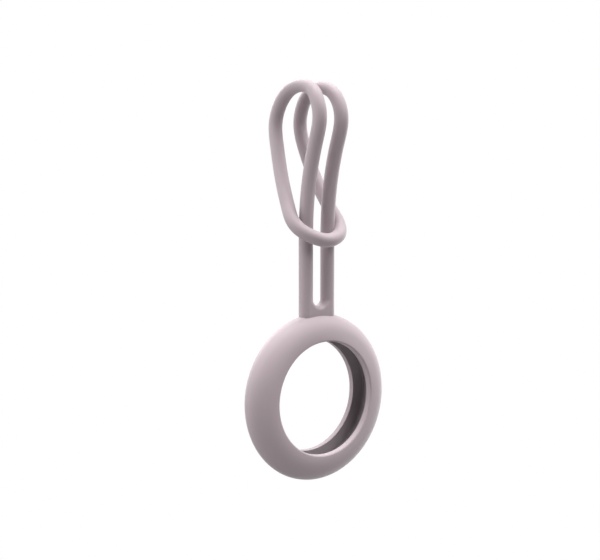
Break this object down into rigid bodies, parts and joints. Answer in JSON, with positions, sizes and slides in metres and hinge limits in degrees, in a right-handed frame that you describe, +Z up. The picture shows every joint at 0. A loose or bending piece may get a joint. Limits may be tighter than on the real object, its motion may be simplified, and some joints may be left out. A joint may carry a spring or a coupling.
{
  "type": "tracker tag holder",
  "caption": "Soft moulded ring that grips a coin-shaped tracker tag by its edge, with a flat neck and a closed strap loop drawn round its own legs in a sliding hitch.",
  "frame": {"origin": "middle of the strap eye, where the bag strap or key ring passes under the two crowns", "axes": "+Z up, along the hanging strap; +Y to the back, along the axis of the ring; +X to the viewer's right, along the strap that it hangs from"},
  "size_m": [0.038, 0.0188, 0.0904],
  "materials": {
    "silicone": "matte moulded silicone in a pale mauve, with a soft sheen"
  },
  "bodies": {
    "eye": {"left_crown": "silicone", "right_crown": "silicone", "left_rise": "silicone", "right_rise": "silicone", "left_fall": "silicone", "right_fall": "silicone"},
    "hitch": {"hitch_wrap": "silicone"},
    "strap": {"left_leg": "silicone", "right_leg": "silicone"},
    "neck": {"neck_tab": "silicone"},
    "holder": {"ring_body": "silicone", "front_lip": "silicone", "back_lip": "silicone"}
  },
  "joints": [
    {"name": "strap_draw", "type": "slide", "parent": "eye", "child": "strap", "axis": [0, 0, 1], "range_m": [-0.0065, 0.0045], "deforming": ["left_rise", "right_rise"]},
    {"name": "hitch_slide", "type": "slide", "parent": "eye", "child": "hitch", "axis": [0, 0, 1], "range_m": [-0.0045, 0.0065], "deforming": ["left_fall", "right_fall"]},
    {"name": "neck_bend", "type": "hinge", "parent": "strap", "child": "neck", "pos_m": [0, -0.003, -0.039], "axis": [1, 0, 0], "range_deg": [-45, 45], "stiffness_Nm_per_rad": 0.006, "deforming": ["neck_tab"]},
    {"name": "ring_tilt", "type": "hinge", "parent": "neck", "child": "holder", "pos_m": [0, -0.003, -0.0437], "axis": [1, 0, 0], "range_deg": [-45, 45], "stiffness_Nm_per_rad": 0.006}
  ],
  "couplings": [
    {"joint": "hitch_slide", "follows": "strap_draw", "ratio": -1},
    {"joint": "ring_tilt", "follows": "neck_bend", "ratio": 1}
  ]
}
